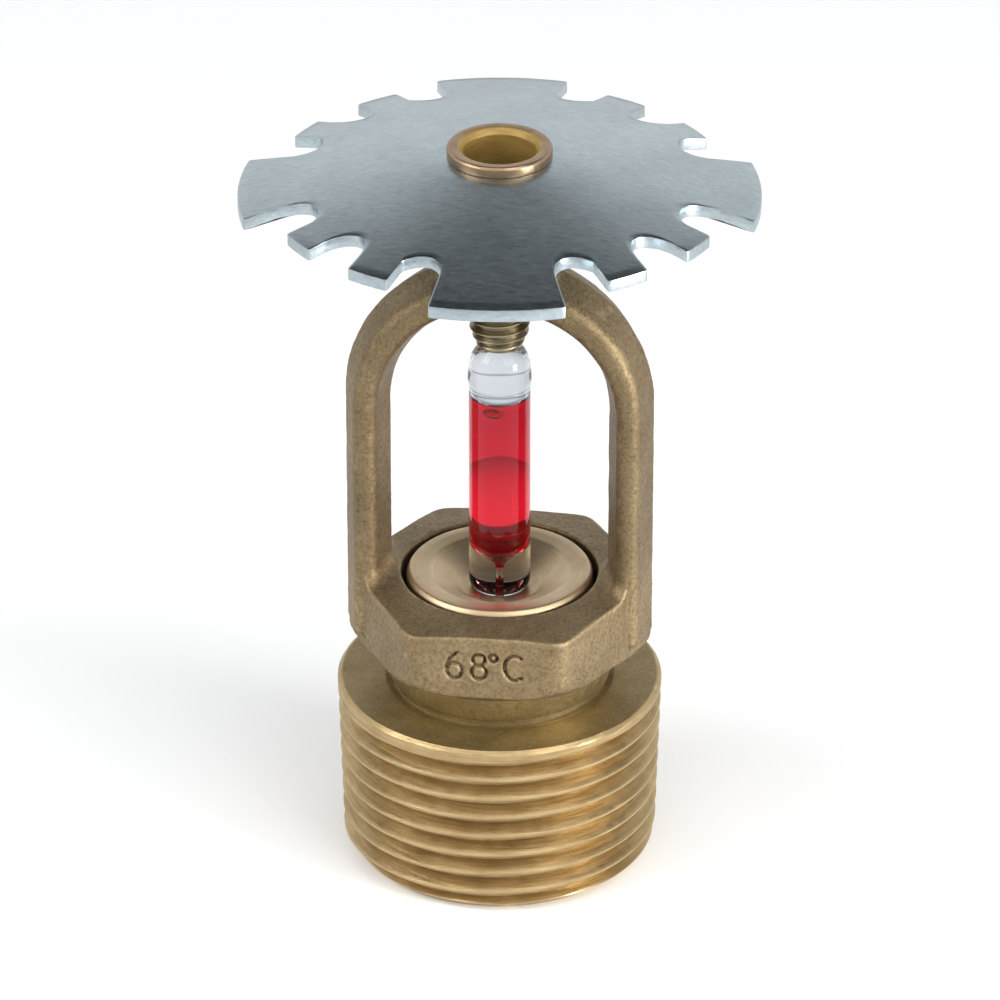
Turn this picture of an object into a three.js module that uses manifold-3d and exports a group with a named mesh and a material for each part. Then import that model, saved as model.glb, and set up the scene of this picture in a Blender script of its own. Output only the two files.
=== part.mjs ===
// Upright fire sprinkler head with a 3/4 inch taper pipe thread and a 5 mm glass bulb.
// Millimetres, +Z up. The origin is the centre of the inlet end face, and the waterway
// runs up the Z axis. The two frame arms stand in the XZ plane.
import * as THREE from 'three';
import { mergeVertices } from 'three/addons/utils/BufferGeometryUtils.js';
import Module from 'manifold-3d';

const wasm = await Module();
wasm.setup();

// ---- Driving dimensions ----------------------------------------------------------------

const GAP = 0.05; // clearance between pieces that touch
const SIDES = 48; // facets around a turned surface

// Pipe thread, 3/4-14 taper: crest radius grows by 1 in 32 up the thread.
const THREAD_TOP = 15.9;
const THREAD_PITCH = 25.4 / 14;
const THREAD_DEPTH = 1.1;
const CREST_RADIUS_AT_INLET = 12.95;
const TAPER = 1 / 32;
const THREAD_RIDGES = 8;
const INLET_CHAMFER = 0.9;

// Waterway and the seat that the seal closes.
const ORIFICE_RADIUS = 6.75;
const SEAT_Z = 22.0;
const SEAT_BORE_RADIUS = 8.1;

// Neck and wrench hexagon.
const NECK_RADIUS = 9.15;
const UNDERCUT_RADIUS = 8.8;
const UNDERCUT_TOP = 16.4;
const HEX_BOTTOM = 19.5;
const HEX_TOP = 25.65; // at the seat bore
const HEX_TOP_FALL = 0.65; // the top face is a cone, and falls this far to the corners
const ACROSS_FLATS = 22.2;
const HEX_CORNER_RADIUS = 12.55; // the six corners are rounded off to this circle

// Frame arms: straight legs, then a bow over the bulb up to the boss.
const ARM_OUTER = 12.65;
const ARM_INNER = 8.9;
const ARM_HALF_DEPTH = 3.4; // across the arm, along Y
const ARM_FRONT_FLAT = 0.42; // share of the arm's thickness that its front flat takes
const BOW_OUTER_CENTRE = 41.8;
const BOW_INNER_CENTRE = 41.2;
const ARM_FOOT = 20.4;
const ARM_ROOT_TOP = 27.6; // the arm flares below this height, into the hexagon
const ARM_ROOT_FLARE = 0.5;

// Boss at the top of the bow, which holds the compression screw.
const BOSS_BOTTOM = 51.3;
const BOSS_TOP = 62.28;
const BOSS_LOW_RADIUS = 3.9;
const BOSS_HIGH_RADIUS = 4.9;
const SCREW_HOLE_RADIUS = 2.75;
const BUSHING_POCKET_RADIUS = 3.65;
const BUSHING_POCKET_BOTTOM = 59.9;

// Deflector: flat round its hole, then a shallow cone that steepens outwards, with four broad teeth and eight narrow ones.
const DEFLECTOR_THICKNESS = 1.05;
const DEFLECTOR_CROWN = 63.45; // height of the flat's top surface
const DEFLECTOR_FLAT_RADIUS = 4.5;
const CONE_SLOPE = 0.15; // fall per millimetre beyond the flat
const CONE_CURVE = 0.00245; // extra fall per square millimetre beyond the flat
const BROAD_TOOTH_RADIUS = 21.0;
const BROAD_TOOTH_HALF = 5.4;
const NARROW_TOOTH_RADIUS = 18.9;
const DEFLECTOR_HOLE_RADIUS = 3.7;
const DEFLECTOR_TURN = THREE.MathUtils.degToRad(5.4); // clocking against the arms

// Bushing: a flanged sleeve that clamps the deflector to the boss.
const BUSHING_BORE_RADIUS = 2.95;
const BUSHING_SLEEVE_RADIUS = 3.5;
const BUSHING_FLANGE_RADIUS = 4.25;
const BUSHING_FLANGE_HEIGHT = 0.9;

// Compression screw, M5 x 0.8, with a cupped tip that holds the head of the bulb.
const SCREW_TIP_Z = 46.55;
const SCREW_TOP_Z = 57.4;
const SCREW_PITCH = 0.8;
const SCREW_CREST_RADIUS = 2.45;
const SCREW_ROOT_RADIUS = 2.05;
const SCREW_TIP_RADIUS = 1.85;
const SCREW_CUP_RADIUS = 1.68;
const SCREW_SLOT_WIDTH = 0.8;
const SCREW_SLOT_DEPTH = 1.4;

// Glass bulb and its liquid.
const BULB_RADIUS = 2.53;
const BULB_SHOULDER_RADIUS = 2.62;
const BULB_BASE_Z = 23.95;
const BULB_HEAD_Z = 47.45;
const CAVITY_RADIUS = 2.05;
const CAVITY_BOTTOM_Z = 28.4;
const CAVITY_TOP_Z = 42.0;
const CAPILLARY_RADIUS = 0.3;
const NIPPLE_RADIUS = 0.6;
const NIPPLE_Z = 23.0;

// Button that closes the orifice, and the spring seal beneath it.
const BUTTON_TOP = 25.75;
const BUTTON_RADIUS = 7.68;
const BUTTON_CHAMFER = 0.4;
const BUTTON_UNDERSIDE = 23.55;
const BUTTON_DISH_Z = 24.1;
const BUTTON_DISH_FLOOR_RADIUS = 3.2;
const BUTTON_DISH_RIM_RADIUS = 5.8;
const BUTTON_DISH_RIM_Z = 25.6;
const BUTTON_SPIGOT_RADIUS = 4.0;
const BUTTON_SPIGOT_Z = 21.4;
const TAPE_THICKNESS = 0.15;
const SPRING_INNER_RADIUS = 4.3;
const SPRING_OUTER_RADIUS = 7.55;
const SPRING_THICKNESS = 0.45;
const SPRING_CONE_HEIGHT = 0.55;

// ---- Helpers ---------------------------------------------------------------------------

// A three.js geometry as a manifold-3d solid.
function solid(geometry) {
  const bare = geometry.clone();
  bare.deleteAttribute('normal');
  bare.deleteAttribute('uv');
  const merged = mergeVertices(bare, 1e-5);
  return new wasm.Manifold(new wasm.Mesh({
    numProp: 3,
    vertProperties: new Float32Array(merged.attributes.position.array),
    triVerts: new Uint32Array(merged.index.array),
  }));
}

// A manifold-3d solid as a three.js geometry.
function geometryOf(body) {
  const mesh = body.getMesh();
  const geometry = new THREE.BufferGeometry();
  geometry.setAttribute('position', new THREE.BufferAttribute(mesh.vertProperties, 3));
  geometry.setIndex(new THREE.BufferAttribute(mesh.triVerts, 1));
  geometry.computeVertexNormals();
  return geometry;
}

// A profile of [radius, height] points turned about the Z axis. It runs anticlockwise, so
// up the outside, and it starts and ends on the axis.
function turned(profile, sides = SIDES) {
  const points = profile.map(([radius, height]) => new THREE.Vector2(radius, height));
  return solid(new THREE.LatheGeometry(points, sides).rotateX(Math.PI / 2));
}

// A cylinder about the Z axis between two heights.
function pillar(radius, bottom, top, sides = SIDES) {
  return turned([[0, bottom], [radius, bottom], [radius, top], [0, top]], sides);
}

// A closed skin over rings of points: every ring has the same number of points.
function skin(rings) {
  const positions = rings.flat().flatMap((point) => [point.x, point.y, point.z]);
  const count = rings[0].length;
  const index = [];
  for (let ring = 0; ring + 1 < rings.length; ring += 1) {
    for (let i = 0; i < count; i += 1) {
      const a = ring * count + i;
      const b = ring * count + ((i + 1) % count);
      index.push(a, b, b + count, a, b + count, a + count);
    }
  }
  const last = (rings.length - 1) * count;
  for (let i = 1; i + 1 < count; i += 1) {
    index.push(0, i + 1, i, last, last + i, last + i + 1);
  }
  const geometry = new THREE.BufferGeometry();
  geometry.setAttribute('position', new THREE.Float32BufferAttribute(positions, 3));
  geometry.setIndex(index);
  return solid(geometry);
}

function piece(name, body, colour, roughness, metalness) {
  const material = new THREE.MeshStandardMaterial({ color: colour, roughness, metalness });
  const mesh = new THREE.Mesh(geometryOf(body), material);
  mesh.name = name;
  return mesh;
}

// ---- Frame -----------------------------------------------------------------------------

// The male pipe thread as ridges at the thread's pitch, each a little wider than the last.
function threadedInlet() {
  const radiusAt = (z) => CREST_RADIUS_AT_INLET + TAPER * z;
  const profile = [[0, 0], [radiusAt(0) - THREAD_DEPTH - INLET_CHAMFER / 2, 0]];
  const flank = THREAD_PITCH * 0.36;
  for (let ridge = 0; ridge < THREAD_RIDGES; ridge += 1) {
    const crest = INLET_CHAMFER + (ridge + 0.4) * THREAD_PITCH;
    profile.push([radiusAt(crest) - THREAD_DEPTH, crest - flank - THREAD_PITCH * 0.1]);
    profile.push([radiusAt(crest), crest - THREAD_PITCH * 0.07]);
    profile.push([radiusAt(crest), crest + THREAD_PITCH * 0.07]);
    profile.push([radiusAt(crest) - THREAD_DEPTH, crest + flank]);
  }
  const rim = radiusAt(THREAD_TOP);
  profile.push([rim - 0.2, THREAD_TOP - 0.3], [rim - 0.5, THREAD_TOP]);
  profile.push([0, THREAD_TOP]);
  return turned(profile);
}

// The neck between the thread and the hexagon, undercut where it meets the thread's top.
function neck() {
  return turned([
    [0, THREAD_TOP - 1],
    [UNDERCUT_RADIUS, THREAD_TOP - 1],
    [UNDERCUT_RADIUS, UNDERCUT_TOP],
    [NECK_RADIUS, UNDERCUT_TOP],
    [NECK_RADIUS + 0.3, HEX_BOTTOM - 1],
    [ACROSS_FLATS / 2 - 0.3, HEX_BOTTOM + 0.3],
    [0, HEX_BOTTOM + 0.3],
  ]);
}

// A hexagonal prism with two flats facing +Y and -Y, and two corners along X.
function hexagonPrism(bottom, top) {
  const shape = new THREE.Shape();
  const cornerReach = ACROSS_FLATS / Math.sqrt(3);
  for (let corner = 0; corner < 6; corner += 1) {
    const angle = corner * (Math.PI / 3);
    shape[corner ? 'lineTo' : 'moveTo'](cornerReach * Math.cos(angle), cornerReach * Math.sin(angle));
  }
  const prism = new THREE.ExtrudeGeometry(shape, { depth: top - bottom, bevelEnabled: false });
  return solid(prism.translate(0, 0, bottom));
}

// The wrench hexagon: its top is a shallow cone, and its corners are turned down.
function hexagon() {
  const rounding = turned([
    [0, HEX_BOTTOM],
    [HEX_CORNER_RADIUS - 0.9, HEX_BOTTOM],
    [HEX_CORNER_RADIUS, HEX_BOTTOM + 0.9],
    [HEX_CORNER_RADIUS, HEX_TOP - HEX_TOP_FALL],
    [SEAT_BORE_RADIUS, HEX_TOP],
    [0, HEX_TOP],
  ]);
  return hexagonPrism(HEX_BOTTOM, HEX_TOP).intersect(rounding);
}

// One ring of the arm: a flattened hexagon between an inner and an outer point of the bow.
function armSection(outer, inner, halfDepth) {
  const middle = outer.clone().lerp(inner, 0.5);
  const across = outer.clone().sub(inner).multiplyScalar(ARM_FRONT_FLAT / 2);
  const depth = new THREE.Vector3(0, halfDepth, 0);
  return [
    outer.clone(),
    middle.clone().add(across).add(depth),
    middle.clone().sub(across).add(depth),
    inner.clone(),
    middle.clone().sub(across).sub(depth),
    middle.clone().add(across).sub(depth),
  ];
}

// One ring of the straight leg on the +X side. The flare widens it forwards and inwards.
function legSection(z, flare) {
  return armSection(
    new THREE.Vector3(ARM_OUTER, 0, z),
    new THREE.Vector3(ARM_INNER - flare * 0.3, 0, z),
    ARM_HALF_DEPTH + flare,
  );
}

// The root that eases the leg into the hexagon, kept inside the hexagon's outline.
function armRoot() {
  const root = skin([
    legSection(ARM_FOOT, ARM_ROOT_FLARE),
    legSection(HEX_TOP, ARM_ROOT_FLARE),
    legSection(HEX_TOP + 0.7, ARM_ROOT_FLARE * 0.35),
    legSection(ARM_ROOT_TOP, 0),
  ]);
  return root.intersect(hexagonPrism(HEX_BOTTOM, ARM_ROOT_TOP + 1));
}

// The arm on the +X side: a straight leg and the bow.
function arm() {
  const rings = [legSection(ARM_FOOT, 0)];
  const steps = 8;
  const reach = Math.PI * 0.42;
  for (let step = 0; step <= steps; step += 1) {
    const turn = (step / steps) * reach;
    const direction = new THREE.Vector3(Math.cos(turn), 0, Math.sin(turn));
    rings.push(armSection(
      direction.clone().multiplyScalar(ARM_OUTER).add(new THREE.Vector3(0, 0, BOW_OUTER_CENTRE)),
      direction.clone().multiplyScalar(ARM_INNER).add(new THREE.Vector3(0, 0, BOW_INNER_CENTRE)),
      ARM_HALF_DEPTH,
    ));
  }
  return skin(rings).add(armRoot());
}

// The boss is a cone that stands on the bow and carries the deflector.
function boss() {
  return turned([
    [0, BOSS_BOTTOM],
    [BOSS_LOW_RADIUS, BOSS_BOTTOM],
    [BOSS_HIGH_RADIUS, BOSS_TOP - 1],
    [BOSS_HIGH_RADIUS, BOSS_TOP],
    [0, BOSS_TOP],
  ], 32);
}

function frame() {
  const leftArm = arm().rotate([0, 0, 180]);
  const bow = arm().add(leftArm).subtract(pillar(BOSS_LOW_RADIUS, HEX_TOP, BOSS_BOTTOM, 32));
  const casting = threadedInlet().add(neck()).add(hexagon()).add(bow).add(boss());
  return casting
    .subtract(pillar(ORIFICE_RADIUS, -1, SEAT_Z + 1))
    .subtract(pillar(SEAT_BORE_RADIUS, SEAT_Z, HEX_TOP + 1))
    .subtract(pillar(SCREW_HOLE_RADIUS, BOSS_BOTTOM - 1, BOSS_TOP + 1, 32))
    .subtract(pillar(BUSHING_POCKET_RADIUS, BUSHING_POCKET_BOTTOM, BOSS_TOP + 1, 32));
}

// ---- Deflector and bushing --------------------------------------------------------------

// A quarter of the deflector's outline in plan, from the +Y axis to the +X axis.
function deflectorQuarter() {
  const path = new THREE.Path();
  const broadAngle = Math.asin(BROAD_TOOTH_HALF / BROAD_TOOTH_RADIUS);
  const onRim = (radius, degreesFromY) => {
    const angle = THREE.MathUtils.degToRad(90 - degreesFromY);
    return [radius * Math.cos(angle), radius * Math.sin(angle)];
  };
  path.absarc(0, 0, BROAD_TOOTH_RADIUS, Math.PI / 2, Math.PI / 2 - broadAngle, true);
  path.lineTo(4.65, 17.0);
  path.quadraticCurveTo(4.2, 15.2, 5.0, 14.55);
  path.quadraticCurveTo(5.9, 13.75, 7.5, 14.5);
  path.lineTo(...onRim(NARROW_TOOTH_RADIUS, 27.3));
  path.lineTo(...onRim(NARROW_TOOTH_RADIUS, 38.6));
  path.lineTo(10.9, 13.2);
  path.quadraticCurveTo(9.95, 11.2, 11.2, 10.6);
  path.quadraticCurveTo(12.2, 10.05, 13.7, 10.8);
  path.lineTo(...onRim(NARROW_TOOTH_RADIUS, 52.0));
  path.lineTo(...onRim(NARROW_TOOTH_RADIUS, 62.5));
  path.lineTo(15.0, 7.75);
  path.quadraticCurveTo(14.3, 7.3, 14.35, 6.2);
  path.quadraticCurveTo(14.5, 4.75, 16.0, 4.45);
  path.lineTo(17.6, 4.45);
  path.lineTo(BROAD_TOOTH_RADIUS * Math.cos(broadAngle), BROAD_TOOTH_HALF);
  path.absarc(0, 0, BROAD_TOOTH_RADIUS, broadAngle, 0, true);
  return path.getPoints(4);
}

// The whole outline, anticlockwise from the +X axis: each quarter mirrors its neighbour.
function deflectorOutline() {
  const quarter = deflectorQuarter().reverse();
  const mirrored = (points, x, y) => points.map((p) => new THREE.Vector2(p.x * x, p.y * y));
  const backwards = [...quarter].reverse();
  return [
    ...quarter.slice(0, -1),
    ...mirrored(backwards, -1, 1).slice(0, -1),
    ...mirrored(quarter, -1, -1).slice(0, -1),
    ...mirrored(backwards, 1, -1).slice(0, -1),
  ];
}

// The height of the plate's top surface.
function plateHeight(radius) {
  const beyond = Math.max(radius - DEFLECTOR_FLAT_RADIUS, 0);
  return DEFLECTOR_CROWN - CONE_SLOPE * beyond - CONE_CURVE * beyond * beyond;
}

// The plate is a grid from its hole out to its outline, on its top and underside.
function deflector() {
  const outline = deflectorOutline();
  const shares = [0, 1 / 3, 2 / 3, 1];
  const onPlate = (point, radius, drop) => {
    const height = plateHeight(radius) - drop;
    return new THREE.Vector3(point.x, point.y, 0).setLength(radius).setZ(height);
  };
  const face = (drop) => [
    outline.map((point) => onPlate(point, DEFLECTOR_HOLE_RADIUS, drop)),
    ...shares.map((share) => outline.map((point) => {
      const radius = THREE.MathUtils.lerp(DEFLECTOR_FLAT_RADIUS, point.length(), share);
      return onPlate(point, radius, drop);
    })),
  ];
  const loops = [...face(0), ...face(DEFLECTOR_THICKNESS).reverse()];
  loops.push(loops[0]);
  return ringBody(loops).rotate([0, 0, THREE.MathUtils.radToDeg(DEFLECTOR_TURN)]);
}

// A closed ring-shaped skin: the last loop is the first one again.
function ringBody(loops) {
  const count = loops[0].length;
  const index = [];
  for (let loop = 0; loop + 1 < loops.length; loop += 1) {
    for (let i = 0; i < count; i += 1) {
      const a = loop * count + i;
      const b = loop * count + ((i + 1) % count);
      index.push(a, b + count, b, a, a + count, b + count);
    }
  }
  const positions = loops.flat().flatMap((point) => [point.x, point.y, point.z]);
  const geometry = new THREE.BufferGeometry();
  geometry.setAttribute('position', new THREE.Float32BufferAttribute(positions, 3));
  geometry.setIndex(index);
  return solid(geometry);
}

function bushing() {
  const under = DEFLECTOR_CROWN;
  const top = under + BUSHING_FLANGE_HEIGHT;
  const sleeveBottom = BUSHING_POCKET_BOTTOM + GAP;
  return turned([
    [0, sleeveBottom],
    [BUSHING_SLEEVE_RADIUS, sleeveBottom],
    [BUSHING_SLEEVE_RADIUS, under],
    [BUSHING_FLANGE_RADIUS, under],
    [BUSHING_FLANGE_RADIUS, top - 0.3],
    [BUSHING_FLANGE_RADIUS - 0.3, top],
    [0, top],
  ], 32).subtract(turned([
    [0, sleeveBottom - 1],
    [BUSHING_BORE_RADIUS, sleeveBottom - 1],
    [BUSHING_BORE_RADIUS, top - 0.3],
    [BUSHING_BORE_RADIUS + 0.6, top + 0.3],
    [0, top + 0.3],
  ], 32));
}

// ---- Compression screw -------------------------------------------------------------------

function compressionScrew() {
  const profile = [[0, SCREW_TIP_Z], [SCREW_TIP_RADIUS, SCREW_TIP_Z]];
  const firstRidge = SCREW_TIP_Z + SCREW_PITCH * 0.9;
  const ridges = Math.floor((SCREW_TOP_Z - firstRidge) / SCREW_PITCH);
  for (let ridge = 0; ridge < ridges; ridge += 1) {
    const z = firstRidge + ridge * SCREW_PITCH;
    const crest = Math.min(SCREW_CREST_RADIUS, SCREW_TIP_RADIUS + 0.25 + ridge * 0.25);
    profile.push([Math.min(SCREW_ROOT_RADIUS, crest - 0.2), z - SCREW_PITCH / 2]);
    profile.push([crest, z]);
  }
  profile.push([SCREW_ROOT_RADIUS, SCREW_TOP_Z], [0, SCREW_TOP_Z]);
  const cup = turned([
    [0, SCREW_TIP_Z - 1],
    [SCREW_CUP_RADIUS + 0.35, SCREW_TIP_Z - 1],
    [SCREW_CUP_RADIUS, SCREW_TIP_Z],
    [0.9, BULB_HEAD_Z + 0.3],
    [0, BULB_HEAD_Z + 0.3],
  ], 24);
  const slot = new THREE.BoxGeometry(SCREW_CREST_RADIUS * 3, SCREW_SLOT_WIDTH, SCREW_SLOT_DEPTH * 2);
  return turned(profile, 24).subtract(cup).subtract(solid(slot.translate(0, 0, SCREW_TOP_Z)));
}

// ---- Bulb ---------------------------------------------------------------------------------

// The ampoule's outside: a nipple below, a straight barrel and a round head. The head is solid.
function bulbOutside() {
  return turned([
    [0, NIPPLE_Z],
    [NIPPLE_RADIUS, NIPPLE_Z],
    [NIPPLE_RADIUS + 0.1, BULB_BASE_Z - 0.3],
    [BULB_RADIUS - 0.9, BULB_BASE_Z],
    [BULB_RADIUS - 0.25, BULB_BASE_Z + 0.5],
    [BULB_RADIUS, BULB_BASE_Z + 1.3],
    [BULB_RADIUS, BULB_HEAD_Z - 4.9],
    [BULB_SHOULDER_RADIUS, BULB_HEAD_Z - 3.95],
    [BULB_SHOULDER_RADIUS - 0.12, BULB_HEAD_Z - 2.8],
    [BULB_SHOULDER_RADIUS - 0.25, BULB_HEAD_Z - 2.1],
    [2.08, BULB_HEAD_Z - 1.55],
    [1.45, BULB_HEAD_Z - 0.8],
    [0.8, BULB_HEAD_Z - 0.25],
    [0, BULB_HEAD_Z],
  ], 32);
}

// The hollow: a barrel that draws in to a capillary, open at the tip of the nipple.
function bulbCavity(bottom, top, shrink) {
  const capillary = CAPILLARY_RADIUS - shrink / 2;
  return turned([
    [0, bottom],
    [capillary, bottom],
    [capillary, CAVITY_BOTTOM_Z - 1.6],
    [0.8 - shrink, CAVITY_BOTTOM_Z - 0.8],
    [CAVITY_RADIUS - shrink, CAVITY_BOTTOM_Z],
    [CAVITY_RADIUS - shrink, top - 0.2],
    [CAVITY_RADIUS - shrink - 0.2, top],
    [0, top],
  ], 32);
}

function bulbGlass() {
  return bulbOutside().subtract(bulbCavity(NIPPLE_Z - 1, CAVITY_TOP_Z, 0));
}

function bulbLiquid() {
  return bulbCavity(NIPPLE_Z + 0.3, CAVITY_TOP_Z - GAP, GAP);
}

// ---- Button and seal ----------------------------------------------------------------------

// The button: a dished disc with a spigot that centres the spring and sockets the bulb.
function button() {
  const body = turned([
    [0, BUTTON_SPIGOT_Z],
    [BUTTON_SPIGOT_RADIUS - 0.4, BUTTON_SPIGOT_Z],
    [BUTTON_SPIGOT_RADIUS, BUTTON_SPIGOT_Z + 0.4],
    [BUTTON_SPIGOT_RADIUS, BUTTON_UNDERSIDE],
    [BUTTON_RADIUS, BUTTON_UNDERSIDE],
    [BUTTON_RADIUS, BUTTON_TOP - BUTTON_CHAMFER],
    [BUTTON_RADIUS - BUTTON_CHAMFER, BUTTON_TOP],
    [0, BUTTON_TOP],
  ]);
  const dish = turned([
    [0, BUTTON_DISH_Z],
    [BUTTON_DISH_FLOOR_RADIUS, BUTTON_DISH_Z],
    [BUTTON_DISH_RIM_RADIUS, BUTTON_DISH_RIM_Z],
    [BUTTON_RADIUS - BUTTON_CHAMFER - 0.5, BUTTON_TOP],
    [BUTTON_RADIUS - BUTTON_CHAMFER - 0.5, BUTTON_TOP + GAP],
    [0, BUTTON_TOP + GAP],
  ]);
  const socket = turned([
    [0, NIPPLE_Z - 0.6],
    [NIPPLE_RADIUS + 0.3, NIPPLE_Z - 0.6],
    [NIPPLE_RADIUS + 0.35, BULB_BASE_Z - 0.45],
    [BULB_RADIUS - 0.7, BULB_BASE_Z - 0.1],
    [BULB_RADIUS - 0.4, BUTTON_DISH_Z + GAP],
    [0, BUTTON_DISH_Z + GAP],
  ], 32);
  return body.subtract(dish).subtract(socket);
}

// A conical ring: low at its outer edge, high at its inner edge.
function coneRing(inner, outer, bottomAtOuter, rise, thickness) {
  const slab = turned([
    [0, bottomAtOuter + rise],
    [inner, bottomAtOuter + rise],
    [outer, bottomAtOuter],
    [outer, bottomAtOuter + thickness],
    [inner, bottomAtOuter + rise + thickness],
    [0, bottomAtOuter + rise + thickness],
  ]);
  return slab.subtract(pillar(inner, SEAT_Z - 2, BUTTON_TOP));
}

const lowerTapeBottom = SEAT_Z + GAP;
const springBottom = lowerTapeBottom + TAPE_THICKNESS + GAP;
const upperTapeBottom = springBottom + SPRING_THICKNESS + GAP;

function sealTape(bottom) {
  return coneRing(SPRING_INNER_RADIUS, SPRING_OUTER_RADIUS, bottom, SPRING_CONE_HEIGHT, TAPE_THICKNESS);
}

function springWasher() {
  return coneRing(
    SPRING_INNER_RADIUS,
    SPRING_OUTER_RADIUS,
    springBottom,
    SPRING_CONE_HEIGHT,
    SPRING_THICKNESS,
  );
}

// ---- Assembly ------------------------------------------------------------------------------

const sprinkler = new THREE.Group();
sprinkler.add(
  piece('frame', frame(), 0x8d7448, 0.55, 0.9),
  piece('deflector', deflector(), 0xa9b3b8, 0.4, 0.9),
  piece('bushing', bushing(), 0xb98d4f, 0.25, 1),
  piece('compression_screw', compressionScrew(), 0x8a7d52, 0.35, 1),
  piece('bulb_glass', bulbGlass(), 0xe8eef0, 0.05, 0),
  piece('bulb_liquid', bulbLiquid(), 0xc8142c, 0.1, 0),
  piece('button', button(), 0xc2ab80, 0.35, 1),
  piece('spring_washer', springWasher(), 0x9c9a94, 0.3, 1),
  piece('seal_tape_upper', sealTape(upperTapeBottom), 0xf2f2ee, 0.6, 0),
  piece('seal_tape_lower', sealTape(lowerTapeBottom), 0xf2f2ee, 0.6, 0),
);

export default sprinkler;
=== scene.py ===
"""Looks of an upright glass-bulb fire sprinkler head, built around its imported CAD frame.

Lengths in this file are millimetres unless a name says otherwise: they are the CAD part's own
dimensions, and mesh_piece() turns them into Blender's metres. The origin is the centre of the
inlet end face, +Z is up the waterway, and the frame arms stand in the XZ plane.
"""

import itertools
import math

import bpy
import numpy as np
from mathutils import Matrix, Vector, noise


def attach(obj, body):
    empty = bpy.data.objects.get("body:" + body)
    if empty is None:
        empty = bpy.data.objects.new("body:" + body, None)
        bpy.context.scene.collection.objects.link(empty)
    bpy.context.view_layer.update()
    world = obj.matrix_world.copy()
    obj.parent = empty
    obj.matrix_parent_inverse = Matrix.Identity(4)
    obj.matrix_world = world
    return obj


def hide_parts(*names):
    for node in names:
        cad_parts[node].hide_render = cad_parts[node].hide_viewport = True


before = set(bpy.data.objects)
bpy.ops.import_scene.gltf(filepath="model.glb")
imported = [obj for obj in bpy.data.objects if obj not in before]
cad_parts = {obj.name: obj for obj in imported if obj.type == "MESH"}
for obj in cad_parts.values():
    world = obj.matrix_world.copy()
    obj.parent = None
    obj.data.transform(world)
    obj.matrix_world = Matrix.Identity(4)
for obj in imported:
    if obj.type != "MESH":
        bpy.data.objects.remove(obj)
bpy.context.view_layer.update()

MM = 0.001

# ---- Dimensions shared with the CAD part --------------------------------------------------------

THREAD_TOP = 15.9
THREAD_PITCH = 25.4 / 14
THREAD_DEPTH = 1.1
CREST_RADIUS_AT_INLET = 12.95
TAPER = 1 / 32
ORIFICE_RADIUS = 6.75
SEAT_Z = 22.0
SEAT_BORE_RADIUS = 8.1
NECK_RADIUS = 9.15
UNDERCUT_RADIUS = 8.8
UNDERCUT_TOP = 16.4
HEX_BOTTOM = 19.5
HEX_TOP = 25.65
HEX_TOP_FALL = 0.65
HEX_APOTHEM = 11.1
HEX_CORNER_RADIUS = 12.55
ARM_OUTER = 12.65
ARM_INNER = 8.9
ARM_HALF_DEPTH = 3.4
ARM_LEAN = 0.32
BOW_OUTER_CENTRE = 41.8
BOW_INNER_CENTRE = 41.2
ARM_FOOT = 20.4
BOSS_BOTTOM = 51.3
BOSS_TOP = 62.28
BOSS_LOW_RADIUS = 3.9
BOSS_HIGH_RADIUS = 4.9
SCREW_HOLE_RADIUS = 2.75
BUSHING_POCKET_RADIUS = 3.65
BUSHING_POCKET_BOTTOM = 59.9
DEFLECTOR_THICKNESS = 1.05
DEFLECTOR_CROWN = 63.45
DEFLECTOR_FLAT_RADIUS = 4.5
CONE_SLOPE = 0.15
CONE_CURVE = 0.00245
BROAD_TOOTH_RADIUS = 21.0
BROAD_TOOTH_HALF = 5.4
NARROW_TOOTH_RADIUS = 18.9
DEFLECTOR_HOLE_RADIUS = 3.7
DEFLECTOR_TURN = math.radians(5.4)
BUSHING_BORE_RADIUS = 2.95
BUSHING_SLEEVE_RADIUS = 3.5
BUSHING_FLANGE_RADIUS = 4.25
BUSHING_FLANGE_HEIGHT = 0.9
SCREW_TIP_Z = 46.55
SCREW_TOP_Z = 57.4
SCREW_PITCH = 0.8
SCREW_CREST_RADIUS = 2.45
SCREW_TIP_RADIUS = 1.85
SCREW_CUP_RADIUS = 1.68
BULB_RADIUS = 2.53
BULB_SHOULDER_RADIUS = 2.62
BULB_BASE_Z = 23.95
BULB_BASE_ROUND = 1.0
BULB_HEAD_Z = 47.45
CAVITY_RADIUS = 2.05
CAVITY_BOTTOM_Z = 28.4
CAVITY_TOP_Z = 42.0
CAPILLARY_RADIUS = 0.2
NIPPLE_RADIUS = 0.6
NIPPLE_Z = 23.0
BUTTON_TOP = 25.75
BUTTON_RADIUS = 7.68
BUTTON_UNDERSIDE = 23.55
BUTTON_DISH_Z = 24.1
BUTTON_DISH_FLOOR_RADIUS = 3.2
BUTTON_DISH_RIM_RADIUS = 5.8
BUTTON_DISH_RIM_Z = 25.6
BUTTON_SPIGOT_RADIUS = 4.0
BUTTON_SPIGOT_Z = 21.4
TAPE_THICKNESS = 0.15
SPRING_INNER_RADIUS = 4.3
SPRING_OUTER_RADIUS = 7.55
SPRING_THICKNESS = 0.45
SPRING_CONE_HEIGHT = 0.55
GAP = 0.05


# ---- Mesh helpers -------------------------------------------------------------------------------

def mesh_piece(name, points, faces, body, material, stands_for=(), sharp_degrees=32):
    """A shaded mesh object from points in millimetres, riding on a CAD body."""
    mesh = bpy.data.meshes.new(name)
    mesh.from_pydata((np.asarray(points, float) * MM).tolist(), [], faces)
    mesh.validate()
    mesh.shade_smooth()
    mesh.set_sharp_from_angle(angle=math.radians(sharp_degrees))
    mesh.materials.append(material)
    piece = bpy.data.objects.new(name, mesh)
    bpy.context.scene.collection.objects.link(piece)
    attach(piece, body)
    if stands_for:
        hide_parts(*stands_for)
    return piece


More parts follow.
